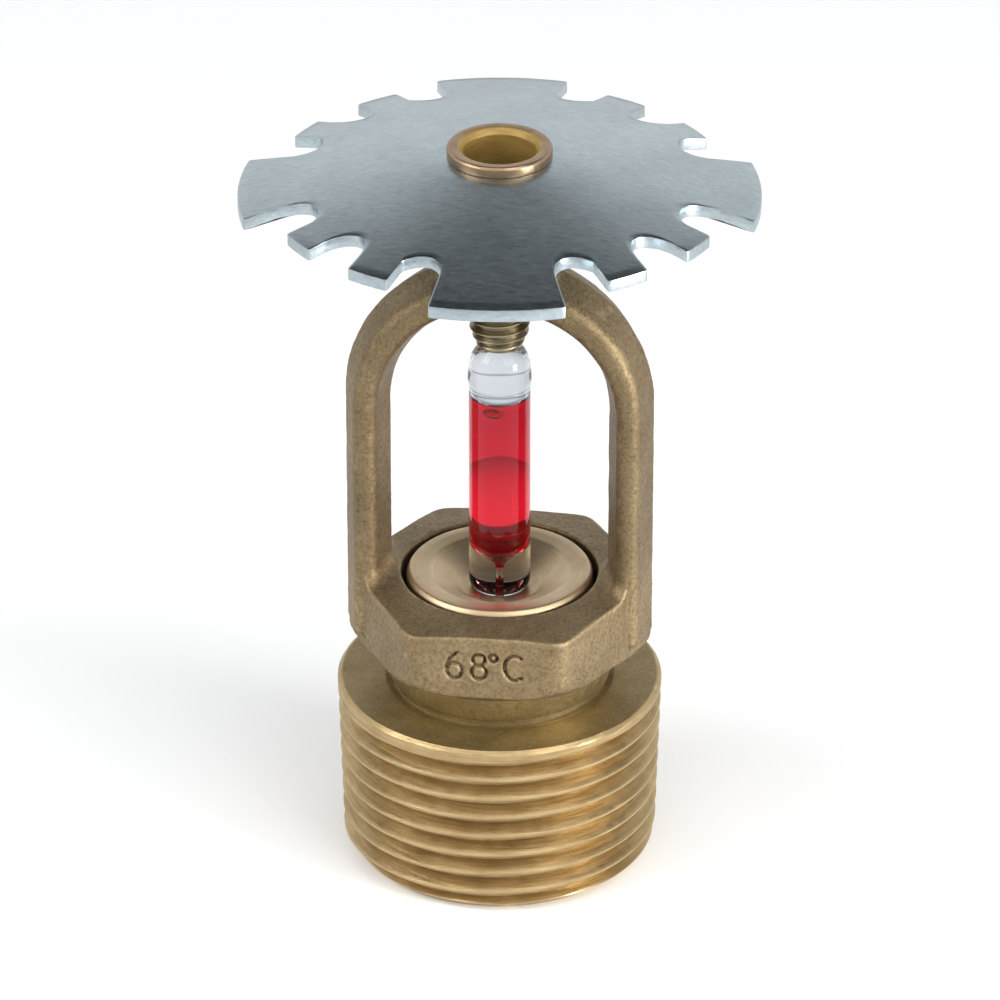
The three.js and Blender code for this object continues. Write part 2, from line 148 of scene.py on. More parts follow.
def weld(points, faces):
    """Merges points at the same place and drops the faces that this collapses."""
    keys = np.round(np.asarray(points), 5)
    unique, index = np.unique(keys, axis=0, return_inverse=True)
    index = index.ravel()
    kept = []
    for face in faces:
        loop = []
        for corner in face:
            corner = int(index[corner])
            if corner not in loop:
                loop.append(corner)
        if len(loop) > 2:
            kept.append(loop)
    return unique, kept


def ring_faces(rings, columns, closed):
    """Quads between successive rings of points, and from the last to the first if closed."""
    faces = []
    last = rings if closed else rings - 1
    for ring in range(last):
        below, above = ring * columns, ((ring + 1) % rings) * columns
        for i in range(columns):
            j = (i + 1) % columns
            faces.append((below + i, below + j, above + j, above + i))
    return faces


def eased(profile, cut=0.12, steps=3, closed=True):
    """A profile with each corner rounded off: the curve starts a distance cut from the corner."""
    points = [np.array(p, float) for p in profile]
    count = len(points)
    result = []
    for i, corner in enumerate(points):
        if not closed and i in (0, count - 1):
            result.append(corner)
            continue
        before, after = points[i - 1] - corner, points[(i + 1) % count] - corner
        reach = min(cut, 0.45 * np.linalg.norm(before), 0.45 * np.linalg.norm(after))
        start = corner + before / np.linalg.norm(before) * reach
        end = corner + after / np.linalg.norm(after) * reach
        for t in np.linspace(0, 1, steps + 1):
            result.append((1 - t) ** 2 * start + 2 * t * (1 - t) * corner + t * t * end)
    return result


def turned_mesh(profile, columns=96, closed=True):
    """A profile of [radius, height] turned about Z. It runs up the outside of the body."""
    turns = np.arange(columns) / columns * 2 * math.pi
    points = [
        (radius * math.cos(turn), radius * math.sin(turn), height)
        for radius, height in profile
        for turn in turns
    ]
    return weld(points, ring_faces(len(profile), columns, closed))


def joined(*parts):
    """Several (points, faces) meshes as one."""
    points, faces = [], []
    for part_points, part_faces in parts:
        offset = len(points)
        points.extend(np.asarray(part_points).tolist())
        faces.extend([[i + offset for i in face] for face in part_faces])
    return points, faces


def threaded_rings(bottom, top, pitch, radius_at, columns, rows_per_pitch=18):
    """Rings that climb with a right-hand thread. radius_at(height, phase) gives the radius."""
    turns = np.arange(columns) / columns
    rows = int(math.ceil((top - bottom) / pitch + 1) * rows_per_pitch) + 1
    rings = []
    for row in range(rows):
        lead = bottom - pitch + row * pitch / rows_per_pitch
        height = np.clip(lead + turns * pitch, bottom, top)
        phase = ((height - bottom) / pitch - turns) % 1.0
        radius = radius_at(height, phase)
        angle = turns * 2 * math.pi
        rings.append(np.stack([radius * np.cos(angle), radius * np.sin(angle), height], 1))
    return rings


def threaded_mesh(bottom, top, pitch, radius_at, columns, closing_profile):
    """A thread closed by a turned profile that runs from its top edge back to its bottom edge.

    Across the seam a ring meets the one a whole pitch further on, because the thread climbs
    one pitch a turn.
    """
    rows_per_pitch = 18
    rings = threaded_rings(bottom, top, pitch, radius_at, columns, rows_per_pitch)
    points = [tuple(p) for ring in rings for p in ring]
    faces = []
    for row in range(len(rings) - 1):
        for i in range(columns - 1):
            a = row * columns + i
            faces.append((a, a + 1, a + 1 + columns, a + columns))
        if row + 1 + rows_per_pitch < len(rings):
            a, b = row * columns + columns - 1, (row + rows_per_pitch) * columns
            faces.append((a, b, b + columns, a + columns))
    first_seam = len(rings) - rows_per_pitch - 1
    for row in range(rows_per_pitch):
        low_a, low_b = row * columns, (row + 1) * columns
        faces.append((low_b, low_a, columns - 1) if row else (columns, 0, columns - 1))
        high_a = (first_seam + row) * columns + columns - 1
        faces.append((high_a, (len(rings) - 1) * columns, high_a + columns))
    start = len(points)
    angles = np.arange(columns) / columns * 2 * math.pi
    for radius, height in closing_profile:
        points += [(radius * math.cos(t), radius * math.sin(t), height) for t in angles]
    last_thread_ring = (len(rings) - 1) * columns
    for i in range(columns):
        j = (i + 1) % columns
        faces.append((last_thread_ring + i, last_thread_ring + j, start + j, start + i))
        end = start + (len(closing_profile) - 1) * columns
        faces.append((end + i, end + j, j, i))
    faces += [
        [start + corner for corner in face]
        for face in ring_faces(len(closing_profile), columns, closed=False)
    ]
    return weld(points, faces)


# ---- Surfaces from distance fields, for the casting ---------------------------------------------

def blend_min(a, b, reach):
    """The union of two distance fields, with a fillet of about that reach."""
    share = np.maximum(reach - np.abs(a - b), 0) / reach
    return np.minimum(a, b) - share * share * reach / 4


def blend_max(a, b, reach):
    """The intersection of two distance fields, with a rounded edge."""
    return -blend_min(-a, -b, reach)


def crossing_points(values, inside, cells):
    """For each cell, the mean of the places where its edges cross the surface, in grid steps."""
    total, hits = np.zeros((len(cells), 3)), np.zeros(len(cells))
    for axis in range(3):
        others = [k for k in range(3) if k != axis]
        for offset in itertools.product((0, 1), repeat=2):
            start = cells.copy()
            start[:, others[0]] += offset[0]
            start[:, others[1]] += offset[1]
            end = start.copy()
            end[:, axis] += 1
            at_start, at_end = values[tuple(start.T)], values[tuple(end.T)]
            crossing = inside[tuple(start.T)] != inside[tuple(end.T)]
            share = np.where(crossing, at_start / np.where(crossing, at_start - at_end, 1), 0)
            point = start.astype(float)
            point[:, axis] += share
            total += np.where(crossing[:, None], point, 0)
            hits += crossing
    return total / hits[:, None]


def edge_quads(inside, number, axis):
    """A quad round each grid edge along the axis that the surface crosses, facing outwards."""
    first, second = (axis + 1) % 3, (axis + 2) % 3
    along = np.moveaxis(inside, axis, 0)
    changes = np.moveaxis(along[:-1] != along[1:], 0, axis)
    edges = np.argwhere(changes)
    limit = np.array(inside.shape) - 1
    inner = (edges[:, first] > 0) & (edges[:, second] > 0)
    inner &= (edges[:, first] < limit[first]) & (edges[:, second] < limit[second])
    edges = edges[inner]
    around = []
    for a, b in ((1, 1), (0, 1), (0, 0), (1, 0)):
        cell = edges.copy()
        cell[:, first] -= a
        cell[:, second] -= b
        around.append(number[tuple(cell.T)])
    quads = np.stack(around, 1)
    outward = inside[tuple(edges.T)]
    quads[~outward] = quads[~outward][:, ::-1]
    return quads


def surface_of(field, low, high, step):
    """Points and quads of a field's zero surface, one point for each grid cell it passes through."""
    axes = [np.arange(low[k], high[k] + step, step) for k in range(3)]
    values = field(
        axes[0][:, None, None], axes[1][None, :, None], axes[2][None, None, :]
    ) + np.zeros([len(axis) for axis in axes])
    inside = values < 0
    shape = [n - 1 for n in values.shape]
    corners = np.zeros(shape, np.int8)
    for i, j, k in itertools.product((0, 1), repeat=3):
        corners += inside[i:i + shape[0], j:j + shape[1], k:k + shape[2]]
    mixed = (corners > 0) & (corners < 8)
    cells = np.argwhere(mixed)
    number = np.full(shape, -1)
    number[mixed] = np.arange(len(cells))
    points = np.array(low) + step * crossing_points(values, inside, cells)
    faces = np.concatenate([edge_quads(inside, number, axis) for axis in range(3)])
    return drawn_on(field, points, step), faces


def slope_of(field, points, reach):
    """The field's gradient at each point."""
    slopes = []
    for axis in range(3):
        shift = np.zeros(3)
        shift[axis] = reach
        ahead, behind = (points + shift).T, (points - shift).T
        slopes.append((field(*ahead) - field(*behind)) / (2 * reach))
    return np.stack(slopes, 1)


def drawn_on(field, points, step):
    """Points moved along the gradient onto the field's zero surface."""
    for _ in range(2):
        slope = slope_of(field, points, step * 0.1)
        length = np.maximum((slope**2).sum(1), 0.25)
        move = -slope * (field(*points.T) / length)[:, None]
        points = points + np.clip(move, -step * 0.6, step * 0.6)
    return points


# ---- The casting --------------------------------------------------------------------------------

CASTING_FILLET = 1.6
CASTING_GRID = 0.2
MID_WINDOW_Z = 36.0


def hexagon_sides(x, y):
    """An endless hexagonal prism, with two flats facing +Y and -Y."""
    slanted = np.abs(x) * math.cos(math.pi / 6) + np.abs(y) * 0.5 - HEX_APOTHEM
    sides = blend_max(np.abs(y) - HEX_APOTHEM, slanted, 0.25)
    return blend_max(sides, np.hypot(x, y) - HEX_CORNER_RADIUS, 0.4)


def hexagon_field(x, y, z):
    """The wrench hexagon: its top is a shallow cone, and its lower corners are turned down."""
    radius = np.hypot(x, y)
    fall = HEX_TOP_FALL / (HEX_CORNER_RADIUS - SEAT_BORE_RADIUS)
    top = z - HEX_TOP + np.maximum(radius - SEAT_BORE_RADIUS, 0) * fall
    body = blend_max(hexagon_sides(x, y), top, 0.3)
    body = blend_max(body, HEX_BOTTOM - z, 0.3)
    under = (radius - HEX_CORNER_RADIUS + 0.9 - (z - HEX_BOTTOM)) / math.sqrt(2)
    return blend_max(body, under, 0.4)


def arms_field(x, y, z):
    """Both arms and the bow: a flattened hexagonal bar bent over the bulb."""
    outer = np.where(z > BOW_OUTER_CENTRE, np.hypot(x, z - BOW_OUTER_CENTRE), np.abs(x)) - ARM_OUTER
    inner = ARM_INNER - np.where(z > BOW_INNER_CENTRE, np.hypot(x, z - BOW_INNER_CENTRE), np.abs(x))
    across = math.hypot(1, ARM_LEAN)
    side = np.abs(y)
    bar = blend_max((outer + ARM_LEAN * side) / across, (inner + ARM_LEAN * side) / across, 0.5)
    bar = blend_max(bar, side - ARM_HALF_DEPTH, 0.9)
    return blend_max(bar, ARM_FOOT - z, 0.5)


def rooted_arms_field(x, y, z):
    """The hexagon and the arms, with a fillet between them that stays within the hexagon."""
    arms = arms_field(x, y, z)
    eased_root = blend_min(hexagon_field(x, y, z), arms, CASTING_FILLET)
    return np.minimum(arms, np.maximum(eased_root, hexagon_sides(x, y)))


def boss_field(x, y, z):
    """The cone above the bow that holds the screw and carries the deflector."""
    share = np.clip((z - BOSS_BOTTOM) / (BOSS_TOP - 1 - BOSS_BOTTOM), 0, 1)
    radius = BOSS_LOW_RADIUS + (BOSS_HIGH_RADIUS - BOSS_LOW_RADIUS) * share
    cone = np.hypot(x, y) - radius
    return blend_max(cone, np.maximum(BOSS_BOTTOM - z, z - BOSS_TOP), 0.5)


def stroke_paths():
    """The rating mark 68 degrees C as strokes in the plane of the front flat, in millimetres."""
    def arc(cx, cz, rx, rz, start, end, steps=12):
        turns = np.radians(np.linspace(start, end, steps))
        return [(cx + rx * math.cos(t), cz + rz * math.sin(t)) for t in turns]

    six = arc(-2.55, -0.45, 0.62, 0.72, 0, 360, 17)
    six_tail = arc(-2.05, -0.45, 1.12, 1.65, 100, 180, 7)
    eight = arc(-0.55, -0.55, 0.62, 0.62, 0, 360, 17)
    eight_top = arc(-0.55, 0.6, 0.5, 0.52, 0, 360, 15)
    degree = arc(0.62, 0.82, 0.31, 0.33, 0, 360, 13)
    letter = arc(2.4, 0.0, 0.85, 1.15, 50, 310, 15)
    return [six, six_tail, eight, eight_top, degree, letter]


STROKES = stroke_paths()
STROKE_CENTRE_Z = 22.55
STROKE_HALF_WIDTH = 0.15
STROKE_DEPTH = 0.32


def mark_field(x, y, z):
    """How far a point is from the engraved strokes of the rating mark."""
    nearest = np.full(np.broadcast_shapes(np.shape(x), np.shape(z)), 9.0)
    height = z - STROKE_CENTRE_Z
    for path in STROKES:
        for (ax, az), (bx, bz) in zip(path, path[1:]):
            dx, dz = bx - ax, bz - az
            share = np.clip(((x - ax) * dx + (height - az) * dz) / (dx * dx + dz * dz), 0, 1)
            gap = np.hypot(x - ax - share * dx, height - az - share * dz)
            nearest = np.minimum(nearest, gap)
    floor = y + HEX_APOTHEM - STROKE_DEPTH
    return np.maximum(nearest - STROKE_HALF_WIDTH + 0.25 * np.maximum(y + HEX_APOTHEM, 0), floor)


def casting_field(x, y, z):
    """The whole casting above the thread, hollowed for the seat, waterway, screw and bushing."""
    radius = np.hypot(x, y)
    body = blend_min(rooted_arms_field(x, y, z), boss_field(x, y, z), CASTING_FILLET)
    below_bow, above_bulb = z - MID_WINDOW_Z, MID_WINDOW_Z - z
    seat_bore = np.maximum(np.maximum(radius - SEAT_BORE_RADIUS, SEAT_Z - z), below_bow)
    orifice = np.maximum(radius - ORIFICE_RADIUS - 0.03, below_bow)
    screw_hole = np.maximum(radius - SCREW_HOLE_RADIUS, above_bulb)
    pocket = np.maximum(radius - BUSHING_POCKET_RADIUS, BUSHING_POCKET_BOTTOM - z)
    for hollow in (seat_bore, orifice, screw_hole, pocket):
        body = blend_max(body, -hollow, 0.25)
    return blend_max(body, -mark_field(x, y, z), 0.12)


def cast_roughness(points, normals):
    """Sand-cast unevenness: the casting's skin pushed in and out by a few hundredths."""
    moved = []
    for point, normal in zip(points, normals):
        broad = noise.noise(Vector(point) * 0.55)
        fine = noise.noise(Vector(point) * 2.1)
        moved.append(point + normal * (0.035 * broad + 0.018 * fine - 0.03))
    return np.array(moved)


def casting(material):
    """The frame above its thread."""
    reach = ARM_OUTER + 0.6
    low = (-reach, -reach, HEX_BOTTOM - 0.5)
    high = (reach, reach, BOSS_TOP + 0.5)
    points, faces = surface_of(casting_field, low, high, CASTING_GRID)
    slope = slope_of(casting_field, points, CASTING_GRID / 4)
    normals = slope / np.linalg.norm(slope, axis=1)[:, None]
    points = cast_roughness(points, normals)
    return mesh_piece(
        "frame_casting", points, faces.tolist(), "frame_body", material,
        stands_for=["frame"], sharp_degrees=75,
    )


# ---- The threaded inlet -------------------------------------------------------------------------

def pipe_thread_radius(height, phase):
    """A taper pipe thread with flattened crests, run out below the top rim."""
    ramp = 1 - np.abs(2 * phase - 1)
    cut = 1 - np.clip((ramp - 0.14) / 0.72, 0, 1)
    run_out = np.clip((THREAD_TOP - 0.75 - height) / 0.5, 0, 1)
    crest = CREST_RADIUS_AT_INLET + TAPER * height
    radius = crest - THREAD_DEPTH * cut * run_out
    entry = CREST_RADIUS_AT_INLET - THREAD_DEPTH - 0.45 + height * 1.25
    rim = crest - np.maximum(height - (THREAD_TOP - 0.28), 0) * 1.1
    return np.minimum(np.minimum(radius, entry), rim)


def threaded_inlet(material, neck_material):
    """The taper thread, its upper face and the neck, with the waterway up the middle."""
    rim = CREST_RADIUS_AT_INLET + TAPER * THREAD_TOP - 0.45
    neck = eased([
        (rim, THREAD_TOP),
        (rim - 0.6, THREAD_TOP + 0.01),
        (UNDERCUT_RADIUS + 0.7, THREAD_TOP),
        (UNDERCUT_RADIUS, THREAD_TOP - 0.25),
        (UNDERCUT_RADIUS, UNDERCUT_TOP),
        (NECK_RADIUS, UNDERCUT_TOP),
        (NECK_RADIUS + 0.3, HEX_BOTTOM - 1),
        (HEX_APOTHEM - 0.3, HEX_BOTTOM + 0.3),
        (ORIFICE_RADIUS, HEX_BOTTOM + 0.3),
        (ORIFICE_RADIUS, 0.5),
        (ORIFICE_RADIUS + 0.5, 0.0),
        (CREST_RADIUS_AT_INLET - THREAD_DEPTH - 0.6, 0.0),
    ], cut=0.1, closed=False)
    points, faces = threaded_mesh(0, THREAD_TOP, THREAD_PITCH, pipe_thread_radius, 240, neck)
    inlet = mesh_piece(
        "frame_threaded_inlet", points, faces, "frame_body", material,
        stands_for=["frame"], sharp_degrees=28,
    )
    inlet.data.materials.append(neck_material)
    for face in inlet.data.polygons:
        x, y, height = face.center / MM
        if height > THREAD_TOP - 0.3 and math.hypot(x, y) < rim - 0.1:
            face.material_index = 1
    return inlet


# ---- Deflector and bushing ----------------------------------------------------------------------

def quadratic(start, control, end, steps=9):
    """Points along a quadratic curve, without its start."""
    start, control, end = np.array(start), np.array(control), np.array(end)
    return [
        (1 - t) ** 2 * start + 2 * t * (1 - t) * control + t * t * end
        for t in np.linspace(0, 1, steps + 1)[1:]
    ]


def on_rim(radius, degrees_from_y):
    """The point of a circle that lies so many degrees clockwise from the +Y axis."""
    angle = math.radians(90 - degrees_from_y)
    return (radius * math.cos(angle), radius * math.sin(angle))


def rim_arc(radius, start, end, steps):
    return [on_rim(radius, degrees) for degrees in np.linspace(start, end, steps + 1)]


def deflector_quarter():
    """A quarter of the outline in plan, from the +Y axis round to the +X axis."""
    broad = math.degrees(math.asin(BROAD_TOOTH_HALF / BROAD_TOOTH_RADIUS))
    path = rim_arc(BROAD_TOOTH_RADIUS, 0, broad, 8)
    path.append((4.65, 17.0))
    path += quadratic(path[-1], (4.2, 15.2), (5.0, 14.55))
    path += quadratic(path[-1], (5.9, 13.75), (7.5, 14.5))
    path += rim_arc(NARROW_TOOTH_RADIUS, 27.3, 38.6, 6)
    path.append((10.9, 13.2))
    path += quadratic(path[-1], (9.95, 11.2), (11.2, 10.6))
    path += quadratic(path[-1], (12.2, 10.05), (13.7, 10.8))
    path += rim_arc(NARROW_TOOTH_RADIUS, 52.0, 62.5, 6)
    path.append((15.0, 7.75))
    path += quadratic(path[-1], (14.3, 7.3), (14.35, 6.2))
    path += quadratic(path[-1], (14.5, 4.75), (16.0, 4.45))
    path.append((17.6, 4.45))
    path += rim_arc(BROAD_TOOTH_RADIUS, 90 - broad, 90, 8)
    return [np.array(point, float) for point in path]


def deflector_outline():
    """The whole outline, anticlockwise: the quarter, mirrored in both axes, corners eased."""
    quarter = deflector_quarter()
    half = quarter[:-1] + [p * (1, -1) for p in reversed(quarter)]
    whole = half[:-1] + [p * (-1, 1) for p in reversed(half)][:-1]
    whole = eased(whole[::-1], cut=0.22, steps=2)
    kept = [whole[0]]
    for point in whole[1:]:
        if np.linalg.norm(point - kept[-1]) > 0.02:
            kept.append(point)
    return np.array(kept)


def drawn_in(outline, distance):
    """The outline offset inwards."""
    along = np.roll(outline, -1, 0) - np.roll(outline, 1, 0)
    inwards = np.stack([-along[:, 1], along[:, 0]], 1)
    return outline + inwards / np.linalg.norm(inwards, axis=1)[:, None] * distance


def plate_ring(plan, drop):
    """Points of the plan outline at the height of the plate's top surface, less a drop."""
    beyond = np.maximum(np.linalg.norm(plan, axis=1) - DEFLECTOR_FLAT_RADIUS, 0)
    height = DEFLECTOR_CROWN - CONE_SLOPE * beyond - CONE_CURVE * beyond**2
    return np.column_stack([plan, height - drop])


def deflector(material):
    """The notched plate: flat round its hole, then falling away as a cone, edges eased."""
    outline = deflector_outline()
    inset = drawn_in(outline, 0.1)
    around = outline / np.linalg.norm(outline, axis=1)[:, None]
    hole, flat = around * DEFLECTOR_HOLE_RADIUS, around * (DEFLECTOR_FLAT_RADIUS - 0.3)
    thick = DEFLECTOR_THICKNESS
    plans = [hole] + [flat + (inset - flat) * share for share in np.linspace(0, 1, 18)]
    rings = [plate_ring(plan, 0) for plan in plans]
    rings += [plate_ring(drawn_in(outline, 0.03), 0.03), plate_ring(outline, 0.1)]
    rings += [plate_ring(outline, thick - 0.08), plate_ring(inset, thick)]
    rings += [plate_ring(plan, thick) for plan in plans[::-1]]
    points = np.concatenate(rings)
    faces = ring_faces(len(rings), len(outline), closed=True)
    faces = [face[::-1] for face in faces]
    turn = np.array(Matrix.Rotation(DEFLECTOR_TURN, 3, "Z"))
    return mesh_piece(
        "deflector_plate", points @ turn.T, faces, "frame_body", material,
        stands_for=["deflector"], sharp_degrees=30,
    )


def bushing(material, bore_material):
    """The flanged sleeve that clamps the deflector, with a bore of its own material."""
    under = DEFLECTOR_CROWN
    top = under + BUSHING_FLANGE_HEIGHT
    bottom = BUSHING_POCKET_BOTTOM + GAP
    profile = eased([
        (BUSHING_BORE_RADIUS, bottom),
        (BUSHING_SLEEVE_RADIUS, bottom),
        (BUSHING_SLEEVE_RADIUS, under),
        (BUSHING_FLANGE_RADIUS, under),
        (BUSHING_FLANGE_RADIUS, top - 0.2),
        (BUSHING_FLANGE_RADIUS - 0.18, top),
        (BUSHING_BORE_RADIUS + 0.4, top - 0.04),
        (BUSHING_BORE_RADIUS, top - 0.5),
    ], cut=0.07, steps=3)
    points, faces = turned_mesh(profile, 128)
    sleeve = mesh_piece(
        "deflector_bushing", points, faces, "frame_body", material,
        stands_for=["bushing"], sharp_degrees=50,
    )
    sleeve.data.materials.append(bore_material)
    for face in sleeve.data.polygons:
        x, y, _ = face.center / MM
        if math.hypot(x, y) < BUSHING_BORE_RADIUS + 0.45:
            face.material_index = 1
    return sleeve


# ---- Compression screw --------------------------------------------------------------------------

def screw_thread_radius(height, phase):
    """M5 x 0.8, tapered off over the last turn above the tip."""
    ramp = 1 - np.abs(2 * phase - 1)
    cut = 1 - np.clip((ramp - 0.12) / 0.74, 0, 1)
    crest = np.minimum(SCREW_CREST_RADIUS, SCREW_TIP_RADIUS + (height - SCREW_TIP_Z) * 0.42)
    crest = np.minimum(crest, SCREW_CREST_RADIUS - (height - SCREW_TOP_Z + 0.3) * 0.9)
    depth = np.clip((height - SCREW_TIP_Z - 0.1) * 0.9, 0, 0.42)
    return crest - depth * cut


def compression_screw(material):
    """The screw: a cup for the bulb's head below, a hexagon-key recess above, drawn round."""
    cup = eased([
        (1.9, SCREW_TOP_Z),
        (1.28, SCREW_TOP_Z),
        (1.15, SCREW_TOP_Z - 0.15),
        (1.15, SCREW_TOP_Z - 1.6),
        (0.0, SCREW_TOP_Z - 1.9),
        (0.0, BULB_HEAD_Z + 0.3),
        (0.9, BULB_HEAD_Z + 0.28),
        (SCREW_CUP_RADIUS, SCREW_TIP_Z + 0.02),
        (SCREW_TIP_RADIUS - 0.08, SCREW_TIP_Z),
    ], cut=0.05, steps=2, closed=False)
    points, faces = threaded_mesh(
        SCREW_TIP_Z, SCREW_TOP_Z, SCREW_PITCH, screw_thread_radius, 96, cup
    )
    return mesh_piece(
        "compression_screw_body", points, faces, "screw_body", material,
        stands_for=["compression_screw"], sharp_degrees=40,
    )


# ---- Bulb ---------------------------------------------------------------------------------------

def smooth_curve(points, steps=5):
    """A Catmull-Rom curve through the points, with straight ends."""
    points = [np.array(p, float) for p in points]
    padded = [2 * points[0] - points[1], *points, 2 * points[-1] - points[-2]]
    result = [points[0]]
    for i in range(1, len(padded) - 2):
        a, b, c, d = padded[i - 1:i + 3]
        for t in np.linspace(0, 1, steps + 1)[1:]:
            result.append(0.5 * (
                2 * b + (c - a) * t + (2 * a - 5 * b + 4 * c - d) * t**2
                + (3 * b - 3 * c + d - a) * t**3
            ))
    return [(max(r, 0.0), z) for r, z in result]


def bulb_outline():
    """The ampoule's outside: a nipple, a flattened round base, a straight barrel and the head."""
    shares = np.sin(np.linspace(0, math.pi / 2, 20))
    base = [
        (BULB_RADIUS * share, BULB_BASE_Z + BULB_BASE_ROUND * (1 - math.sqrt(1 - share**5)))
        for share in shares
    ]
    nipple = [(0, NIPPLE_Z), (NIPPLE_RADIUS * 0.8, NIPPLE_Z + 0.12), (NIPPLE_RADIUS, NIPPLE_Z + 0.5)]
    shoulder = smooth_curve([
        (BULB_RADIUS, 26.0),
        (BULB_RADIUS, 34.0),
        (BULB_RADIUS, BULB_HEAD_Z - 5.3),
        (BULB_RADIUS + 0.03, BULB_HEAD_Z - 4.6),
        (BULB_SHOULDER_RADIUS, BULB_HEAD_Z - 3.9),
        (BULB_SHOULDER_RADIUS - 0.1, BULB_HEAD_Z - 2.85),
        (BULB_SHOULDER_RADIUS - 0.24, BULB_HEAD_Z - 2.15),
        (2.09, BULB_HEAD_Z - 1.55),
        (1.46, BULB_HEAD_Z - 0.8),
        (0.82, BULB_HEAD_Z - 0.25),
        (0.0, BULB_HEAD_Z),
    ], 6)
    return nipple + [p for p in base if p[0] > NIPPLE_RADIUS + 0.15] + shoulder


def cavity_outline(radius, capillary, bottom):
    """The inside of the ampoule, from the capillary's lower end up to the head."""
    foot = smooth_curve([
        (capillary, CAVITY_BOTTOM_Z - 2.2),
        (capillary + 0.08, CAVITY_BOTTOM_Z - 1.75),
        (radius * 0.42, CAVITY_BOTTOM_Z - 1.15),
        (radius * 0.86, CAVITY_BOTTOM_Z - 0.5),
        (radius, CAVITY_BOTTOM_Z + 0.15),
        (radius, CAVITY_BOTTOM_Z + 0.9),
    ], 5)
    return [(0, bottom), (capillary * 0.8, bottom + 0.03), (capillary, bottom + 0.15)] + foot


def bulb_glass(outer_material, inner_material):
    """The ampoule with its hollow. Its head above the hollow is solid glass."""
    outside = turned_mesh(bulb_outline(), 96, closed=False)
    hollow = cavity_outline(CAVITY_RADIUS, CAPILLARY_RADIUS, NIPPLE_Z + 0.4)
    hollow += [(CAVITY_RADIUS * r, z) for r, z in cavity_top(CAVITY_TOP_Z)]
    points, faces = turned_mesh(hollow, 96, closed=False)
    points, faces = joined(outside, (points, [face[::-1] for face in faces]))
    ampoule = mesh_piece(
        "bulb_ampoule", points, faces, "load_stack", outer_material,
        stands_for=["bulb_glass"], sharp_degrees=80,
    )
    ampoule.data.materials.append(inner_material)
    for face in ampoule.data.polygons[len(outside[1]):]:
        face.material_index = 1
    return ampoule


def cavity_top(height):
    """The cavity's nearly flat end, from its rim to the axis, with radii as a share of its own."""
    return [(r, height - 0.18 * r**8) for r in np.linspace(1, 0, 20)]


def bubble(centre, radius, half_height):
    """A flattened sphere with its faces turned inwards."""
    arc = np.linspace(-math.pi / 2, math.pi / 2, 13)
    profile = [(radius * max(math.cos(t), 0), half_height * math.sin(t)) for t in arc]
    points, faces = turned_mesh(profile, 32, closed=False)
    return points + np.array(centre), [face[::-1] for face in faces]


def bulb_liquid(material):
    """The liquid, reaching a little into the glass wall so that no air lies between them."""
    wet = 0.012
    radius = CAVITY_RADIUS + wet
    capillary = CAPILLARY_RADIUS + wet
    funnel = cavity_outline(radius, capillary, 0)[3:]
    column = [(0, CAVITY_BOTTOM_Z - 2.25)] + funnel
    top = [(radius * r, z) for r, z in cavity_top(CAVITY_TOP_Z - GAP / 2)]
    main = turned_mesh(column + top, 96, closed=False)
    thread = turned_mesh([
        (0, NIPPLE_Z + 0.42),
        (capillary, NIPPLE_Z + 0.5),
        (capillary, CAVITY_BOTTOM_Z - 3.1),
        (0, CAVITY_BOTTOM_Z - 3.0),
    ], 24, closed=False)
    points, faces = joined(main, thread, bubble((-0.3, -0.8, 41.05), 0.7, 0.5))
    return mesh_piece(
        "bulb_red_liquid", points, faces, "load_stack", material,
        stands_for=["bulb_liquid"], sharp_degrees=50,
    )


# ---- Button and seal ----------------------------------------------------------------------------

def button(material):
    """The dished disc, with a spigot below and a socket for the bulb's foot."""
    profile = eased([
        (0, NIPPLE_Z - 0.6),
        (0, BUTTON_SPIGOT_Z),
        (BUTTON_SPIGOT_RADIUS - 0.4, BUTTON_SPIGOT_Z),
        (BUTTON_SPIGOT_RADIUS, BUTTON_SPIGOT_Z + 0.4),
        (BUTTON_SPIGOT_RADIUS, BUTTON_UNDERSIDE),
        (BUTTON_RADIUS, BUTTON_UNDERSIDE),
        (BUTTON_RADIUS, BUTTON_TOP - 0.4),
        (BUTTON_RADIUS - 0.3, BUTTON_TOP),
        (BUTTON_RADIUS - 0.9, BUTTON_TOP - 0.02),
        (BUTTON_DISH_RIM_RADIUS, BUTTON_DISH_RIM_Z),
        (BUTTON_DISH_FLOOR_RADIUS, BUTTON_DISH_Z + 0.02),
        (BULB_RADIUS - 0.35, BUTTON_DISH_Z + 0.01),
        (BULB_RADIUS - 0.7, BULB_BASE_Z - 0.1),
        (NIPPLE_RADIUS + 0.35, BULB_BASE_Z - 0.45),
        (NIPPLE_RADIUS + 0.3, NIPPLE_Z - 0.6),
    ], cut=0.16, steps=4)
    profile = [(max(r, 0.0), z) for r, z in profile]
    points, faces = turned_mesh(profile, 144)
    return mesh_piece(
        "seat_button", points, faces, "load_stack", material,
        stands_for=["button"], sharp_degrees=40,
    )


def cone_ring(name, bottom, thickness, material, node, cut):
    """A conical ring, low at its outer edge and high at its inner edge."""
    profile = eased([
        (SPRING_INNER_RADIUS, bottom + SPRING_CONE_HEIGHT),
        (SPRING_OUTER_RADIUS, bottom),
        (SPRING_OUTER_RADIUS, bottom + thickness),
        (SPRING_INNER_RADIUS, bottom + SPRING_CONE_HEIGHT + thickness),
    ], cut=cut, steps=3)
    points, faces = turned_mesh(profile, 128)
    return mesh_piece(
        name, points, faces, "load_stack", material, stands_for=[node], sharp_degrees=50
    )


# ---- Materials ----------------------------------------------------------------------------------

